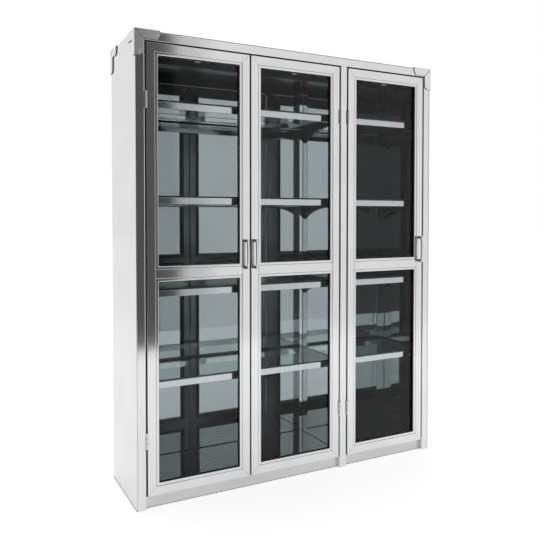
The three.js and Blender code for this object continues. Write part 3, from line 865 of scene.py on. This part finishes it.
def door_handle(name, body):
    """A bowed bar on two necks, screwed through the stile from behind."""
    node = f"{name}_door_handle"
    low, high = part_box(node)
    _, door_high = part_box(f"{name}_door_frame")
    middle = (low.z + high.z) / 2
    end = (high.z - low.z) / 2
    inner = end - HANDLE_NECK
    face = low.y + HANDLE_BOW
    bar_back = face + HANDLE_BAR
    steps = [2 * step / HANDLE_STEPS - 1 for step in range(HANDLE_STEPS + 1)]

    def bow(depth, half, way):
        return [(depth - HANDLE_BOW * (1 - t * t), middle + way * t * half, 0) for t in steps]

    outline = softened([
        (high.y, middle - end, 0),
        (high.y, middle - inner, 0),
        *bow(bar_back, inner, 1),
        (high.y, middle + inner, 0),
        (high.y, middle + end, 0),
        (face, middle + end, HANDLE_CORNER),
        *bow(face, end - 2 * HANDLE_CORNER, -1),
        (face, middle - end, HANDLE_CORNER),
    ])
    bar, screws = bmesh.new(), bmesh.new()
    add_prism(bar, outline, (low.x, high.x), "x")
    for side in (-1, 1):
        base = ((low.x + high.x) / 2, door_high.y, middle + side * (end - HANDLE_NECK / 2))
        add_screw(screws, base, (0, 1, 0), SCREW_RADIUS, SCREW_HEIGHT)
    place(f"{node}_bow", bar, body, [SATIN_STEEL], HANDLE_BEVEL, [node], HANDLE_BEVEL_STEPS)
    place(f"{node}_screws", screws, body, [DARK_STEEL_AND_PAINTED_SHADE])


def hinge(name, body, level):
    """A butt hinge: two knuckles and a leaf on the post, one knuckle and a leaf on the door."""
    joint = next(joint for joint in frame["joints"] if joint["child"] == body)
    axis_x, axis_y, _ = joint["pos_m"]
    door_low, door_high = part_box(f"{name}_door_frame")
    post_side = math.copysign(1, axis_x - (door_low.x + door_high.x) / 2)
    prefix = f"{name}_door_{level}_hinge"
    low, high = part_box(f"{prefix}_post_leaf")
    _, leaf_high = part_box(f"{prefix}_door_leaf")
    height = (high.z - low.z - (KNUCKLES - 1) * KNUCKLE_GAP) / KNUCKLES
    halves = (("post", "carcass", post_side, (0, 2)), ("door", body, -post_side, (1,)))
    for half, rider, side, rows in halves:
        bm = bmesh.new()
        inner, outer = sorted((axis_x + side * LEAF_OUTER, axis_x + side * (LEAF_OUTER - LEAF_THICKNESS)))
        leaf_front = door_low.y + LEAF_FRONT
        add_prism(bm, rectangle((inner, leaf_front), (outer, leaf_high.y)), (low.z, high.z), "z")
        for row in rows:
            foot = low.z + row * (height + KNUCKLE_GAP)
            neck = rectangle((inner, axis_y), (outer, leaf_front + LEAF_THICKNESS))
            add_prism(bm, neck, (foot + BARREL_CHAMFER, foot + height - BARREL_CHAMFER), "z")
            barrel = [
                (0, 0),
                (BARREL_RADIUS - BARREL_CHAMFER, 0),
                (BARREL_RADIUS, BARREL_CHAMFER),
                (BARREL_RADIUS, height - BARREL_CHAMFER),
                (BARREL_RADIUS - BARREL_CHAMFER, height),
                (0, height),
            ]
            add_turned(bm, (axis_x, axis_y, foot), (0, 0, 1), barrel, BARREL_SEGMENTS)
        if half == "post":
            add_rivet(bm, (axis_x, axis_y, high.z), (0, 0, 1), PIN_CAP_RADIUS, PIN_CAP_HEIGHT)
            add_rivet(bm, (axis_x, axis_y, low.z), (0, 0, -1), PIN_CAP_RADIUS, PIN_CAP_HEIGHT)
        place(f"{prefix}_{half}_half", bm, rider, [SATIN_STEEL], 0, [f"{prefix}_{half}_leaf"])


def door(name):
    body = f"{name}_door"
    panes = [f"{body}_upper_glass", f"{body}_lower_glass"]
    windows = [window_of(pane) for pane in panes]
    door_members(name, body, windows)
    door_glazing(name, body, windows)
    door_seal(name, body)
    for pane in panes:
        glass_plate(pane, body, DOOR_GLASS)
    door_handle(name, body)
    for level in ("upper", "lower"):
        hinge(name, body, level)


# Studio

def seen_directly(tree):
    """One for rays from the camera, off a glossy surface or through glass, and zero for diffuse light."""
    path = tree.nodes.new("ShaderNodeLightPath")
    total = path.outputs["Is Camera Ray"]
    for kind in ("Is Glossy Ray", "Is Transmission Ray"):
        either = tree.nodes.new("ShaderNodeMath")
        either.operation = "MAXIMUM"
        tree.links.new(total, either.inputs[0])
        tree.links.new(path.outputs[kind], either.inputs[1])
        total = either.outputs["Value"]
    return total


def studio_world():
    """White where it is seen, and a softer ambient light."""
    world = bpy.data.worlds.new("studio")
    scene.world = world
    world.use_nodes = True
    tree = world.node_tree
    strength = add_node(tree, "ShaderNodeMapRange", To_Min=AMBIENT, To_Max=1.0)
    tree.links.new(seen_directly(tree), strength.inputs["Value"])
    background = tree.nodes["Background"]
    background.inputs["Color"].default_value = WHITE
    tree.links.new(strength.outputs["Result"], background.inputs["Strength"])


def studio_plane(name, corners, material):
    mesh = bpy.data.meshes.new(name)
    mesh.from_pydata(corners, [], [(0, 1, 2, 3)])
    mesh.materials.append(material)
    plane = bpy.data.objects.new(name, mesh)
    scene.collection.objects.link(plane)
    return plane


def studio_floor():
    """A pale floor that glows where it is seen and still takes the cabinet's shadow."""
    material, tree, shader = new_material("pale_floor")
    shader.inputs["Base Color"].default_value = (FLOOR_TONE, FLOOR_TONE, FLOOR_TONE, 1)
    shader.inputs["Roughness"].default_value = 1.0
    shader.inputs["Specular IOR Level"].default_value = 0.0
    shader.inputs["Emission Color"].default_value = WHITE
    glow = add_node(tree, "ShaderNodeMapRange", To_Min=0.0, To_Max=FLOOR_GLOW)
    tree.links.new(seen_directly(tree), glow.inputs["Value"])
    tree.links.new(glow.outputs["Result"], shader.inputs["Emission Strength"])
    half = FLOOR_HALF
    studio_plane("floor", [(-half, -half, 0), (half, -half, 0), (half, half, 0), (-half, half, 0)], material)


def studio_wall(front):
    """The wall behind the camera, which only reflections show: two fades from dark on the left to pale."""
    material, tree, shader = new_material("studio_wall")
    shader.inputs["Base Color"].default_value = BLACK
    shader.inputs["Specular IOR Level"].default_value = 0.0
    shader.inputs["Emission Color"].default_value = WHITE
    position = tree.nodes.new("ShaderNodeTexCoord")
    lean = add_node(tree, "ShaderNodeMapping", Rotation=(0, math.radians(WALL_LEAN), 0))
    parts = tree.nodes.new("ShaderNodeSeparateXYZ")
    total = tree.nodes.new("ShaderNodeMath")
    total.operation = "ADD"
    for slot, (fade, level) in enumerate(zip(WALL_FADES, WALL_LEVELS)):
        ramp = tree.nodes.new("ShaderNodeMapRange")
        ramp.interpolation_type = "SMOOTHSTEP"
        ramp.inputs["From Min"].default_value, ramp.inputs["From Max"].default_value = fade
        ramp.inputs["To Min"].default_value, ramp.inputs["To Max"].default_value = level
        tree.links.new(parts.outputs["X"], ramp.inputs["Value"])
        tree.links.new(ramp.outputs["Result"], total.inputs[slot])
    tree.links.new(position.outputs["Object"], lean.inputs["Vector"])
    tree.links.new(lean.outputs["Vector"], parts.inputs["Vector"])
    tree.links.new(total.outputs["Value"], shader.inputs["Emission Strength"])
    y = front - WALL_DISTANCE
    corners = [(x, y, z) for x, z in rectangle((WALL_LEFT, 0), (WALL_RIGHT, WALL_HEIGHT))]
    wall = studio_plane("studio_wall", corners, material)
    wall.visible_camera = False
    wall.visible_diffuse = False
    wall.visible_shadow = False


def studio_lamp(name, location, energy):
    data = bpy.data.lights.new(name, "AREA")
    data.size = LAMP_SIZE
    data.energy = energy
    lamp = bpy.data.objects.new(name, data)
    scene.collection.objects.link(lamp)
    lamp.location = location
    lamp.rotation_euler = (LAMP_TARGET - Vector(location)).to_track_quat("-Z", "Y").to_euler()
    lamp.visible_glossy = False
    lamp.visible_camera = False
    lamp.visible_transmission = False


def studio_camera(foot):
    data = bpy.data.cameras.new("camera")
    data.sensor_width = CAMERA_SENSOR
    data.lens = CAMERA_LENS
    data.shift_y = CAMERA_SHIFT
    camera = bpy.data.objects.new("camera", data)
    scene.collection.objects.link(camera)
    camera.location = foot + CAMERA_OFFSET
    camera.rotation_euler = (math.radians(90 - CAMERA_PITCH), 0, math.radians(-CAMERA_YAW))
    scene.camera = camera


def studio():
    scene.view_settings.view_transform = "Standard"
    foot = Vector((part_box("left_side_panel")[0].x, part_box("front_left_post")[0].y, 0))
    studio_camera(foot)
    studio_world()
    studio_floor()
    studio_wall(foot.y)
    for name, (location, energy) in LAMPS.items():
        studio_lamp(name, location, energy)


studio()
carcass()
post_highlight_and_shadow_trim()
sealant()
floor_shadow_lips()
back_rivets()
for depth_name in ("front", "back"):
    for width_name in ("left", "right"):
        corner_guard(depth_name, width_name)
for shelf in sorted(node for node in frame["nodes"] if node.startswith(SHELF_PREFIX)):
    shelf_frame(shelf)
    for side in ("left", "right"):
        glass_plate(f"{side}_shelf_glass_{shelf[len(SHELF_PREFIX):]}", "carcass", SHELF_GLASS)
for door_name in DOORS:
    door_catch(door_name)
    bottom_catch(door_name)
    door(door_name)
